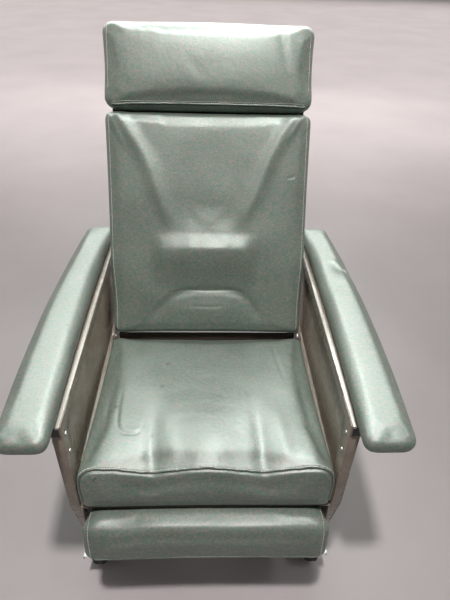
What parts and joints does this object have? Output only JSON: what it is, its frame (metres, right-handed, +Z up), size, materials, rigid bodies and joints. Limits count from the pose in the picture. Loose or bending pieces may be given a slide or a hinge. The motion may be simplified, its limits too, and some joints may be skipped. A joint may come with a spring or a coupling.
{
  "type": "reclining phlebotomy chair",
  "caption": "Reclining phlebotomy chair with padded arms and head pillow, a back that tips, a leg rest on swing links, and swivel casters.",
  "frame": {"origin": "on the floor, under the middle of the chair's box with the back at rest", "axes": "+Z up, the sitter faces -Y, +X is to the sitter's left"},
  "size_m": [0.7682, 0.964, 1.2142],
  "materials": {
    "vinyl": "satin marbled vinyl",
    "taupe_enamel": "gloss",
    "grey_enamel": "satin",
    "zinc_plated_steel": "satin",
    "chromed_tube": "polished",
    "black_plastic": "matte",
    "grey_plastic": "satin",
    "tyre_rubber": "matte",
    "plywood": "dark stained"
  },
  "bodies": {
    "base": {"side_frame_left": "taupe_enamel", "side_frame_right": "taupe_enamel", "side_panel_left": "taupe_enamel", "side_panel_right": "taupe_enamel", "outer_panel_left": "taupe_enamel", "outer_panel_right": "taupe_enamel", "arm_rail_left": "taupe_enamel", "arm_rail_right": "taupe_enamel", "rail_plugs": "black_plastic", "arm_brackets": "taupe_enamel", "arm_board_left": "plywood", "arm_board_right": "plywood", "arm_pad_left": "vinyl", "arm_pad_right": "vinyl", "seat_plate_left": "taupe_enamel", "seat_plate_right": "taupe_enamel", "seat_cross_rails": "taupe_enamel", "base_cross_tubes": "taupe_enamel", "seat_board": "plywood", "rear_apron": "plywood", "seat_cushion": "vinyl", "leg_pivot_pins": "zinc_plated_steel"},
    "back": {"back_frame": "plywood", "back_board": "plywood", "back_cushion": "vinyl", "head_pillow": "vinyl", "back_cover": "vinyl", "push_bar": "chromed_tube", "recline_bar_left": "grey_enamel", "recline_bar_right": "grey_enamel", "recline_pins": "zinc_plated_steel", "recline_spacers": "black_plastic"},
    "front_links": {"front_link_left": "zinc_plated_steel", "front_link_right": "zinc_plated_steel"},
    "rear_links": {"rear_link_left": "zinc_plated_steel", "rear_link_right": "zinc_plated_steel"},
    "leg_rest": {"leg_carrier": "taupe_enamel", "leg_carrier_pins": "zinc_plated_steel", "leg_board": "plywood", "leg_cushion": "vinyl"},
    "fork_front_left": {"caster_fork_front_left": "zinc_plated_steel", "axle_front_left": "zinc_plated_steel"},
    "wheel_front_left": {"tyre_front_left": "tyre_rubber", "hub_front_left": "grey_plastic"},
    "pedal_front_left": {"brake_pedal_front_left": "zinc_plated_steel"},
    "fork_front_right": {"caster_fork_front_right": "zinc_plated_steel", "axle_front_right": "zinc_plated_steel"},
    "wheel_front_right": {"tyre_front_right": "tyre_rubber", "hub_front_right": "grey_plastic"},
    "pedal_front_right": {"brake_pedal_front_right": "zinc_plated_steel"},
    "fork_rear_left": {"caster_fork_rear_left": "zinc_plated_steel", "axle_rear_left": "zinc_plated_steel"},
    "wheel_rear_left": {"tyre_rear_left": "tyre_rubber", "hub_rear_left": "grey_plastic"},
    "fork_rear_right": {"caster_fork_rear_right": "zinc_plated_steel", "axle_rear_right": "zinc_plated_steel"},
    "wheel_rear_right": {"tyre_rear_right": "tyre_rubber", "hub_rear_right": "grey_plastic"}
  },
  "joints": [
    {"name": "back_recline", "type": "hinge", "parent": "base", "child": "back", "pos_m": [0, 0.08393, 0.44937], "axis": [-1, 0, 0], "range_deg": [0, 40]},
    {"name": "front_link_swing", "type": "hinge", "parent": "base", "child": "front_links", "pos_m": [0, -0.39305, 0.36949], "axis": [-1, 0, 0], "range_deg": [0, 132]},
    {"name": "rear_link_swing", "type": "hinge", "parent": "base", "child": "rear_links", "pos_m": [0, -0.27833, 0.36146], "axis": [-1, 0, 0], "range_deg": [0, 132]},
    {"name": "leg_rest_level", "type": "hinge", "parent": "front_links", "child": "leg_rest", "pos_m": [0, -0.23506, 0.25519], "axis": [-1, 0, 0], "range_deg": [-132, 0]},
    {"name": "swivel_front_left", "type": "hinge", "parent": "base", "child": "fork_front_left", "pos_m": [-0.28275, -0.34201, 0.149], "axis": [0, 0, 1], "continuous": true},
    {"name": "roll_front_left", "type": "hinge", "parent": "fork_front_left", "child": "wheel_front_left", "pos_m": [-0.28275, -0.30701, 0.0625], "axis": [1, 0, 0], "continuous": true},
    {"name": "brake_front_left", "type": "hinge", "parent": "fork_front_left", "child": "pedal_front_left", "pos_m": [-0.28275, -0.35801, 0.133], "axis": [1, 0, 0], "range_deg": [0, 14]},
    {"name": "swivel_front_right", "type": "hinge", "parent": "base", "child": "fork_front_right", "pos_m": [0.28275, -0.34201, 0.149], "axis": [0, 0, 1], "continuous": true},
    {"name": "roll_front_right", "type": "hinge", "parent": "fork_front_right", "child": "wheel_front_right", "pos_m": [0.28275, -0.30701, 0.0625], "axis": [1, 0, 0], "continuous": true},
    {"name": "brake_front_right", "type": "hinge", "parent": "fork_front_right", "child": "pedal_front_right", "pos_m": [0.28275, -0.35801, 0.133], "axis": [1, 0, 0], "range_deg": [0, 14]},
    {"name": "swivel_rear_left", "type": "hinge", "parent": "base", "child": "fork_rear_left", "pos_m": [-0.28275, 0.20999, 0.149], "axis": [0, 0, 1], "continuous": true},
    {"name": "roll_rear_left", "type": "hinge", "parent": "fork_rear_left", "child": "wheel_rear_left", "pos_m": [-0.28275, 0.24499, 0.0625], "axis": [1, 0, 0], "continuous": true},
    {"name": "swivel_rear_right", "type": "hinge", "parent": "base", "child": "fork_rear_right", "pos_m": [0.28275, 0.20999, 0.149], "axis": [0, 0, 1], "continuous": true},
    {"name": "roll_rear_right", "type": "hinge", "parent": "fork_rear_right", "child": "wheel_rear_right", "pos_m": [0.28275, 0.24499, 0.0625], "axis": [1, 0, 0], "continuous": true}
  ],
  "couplings": [
    {"joint": "rear_link_swing", "follows": "front_link_swing", "ratio": 1},
    {"joint": "leg_rest_level", "follows": "front_link_swing", "ratio": -1}
  ]
}
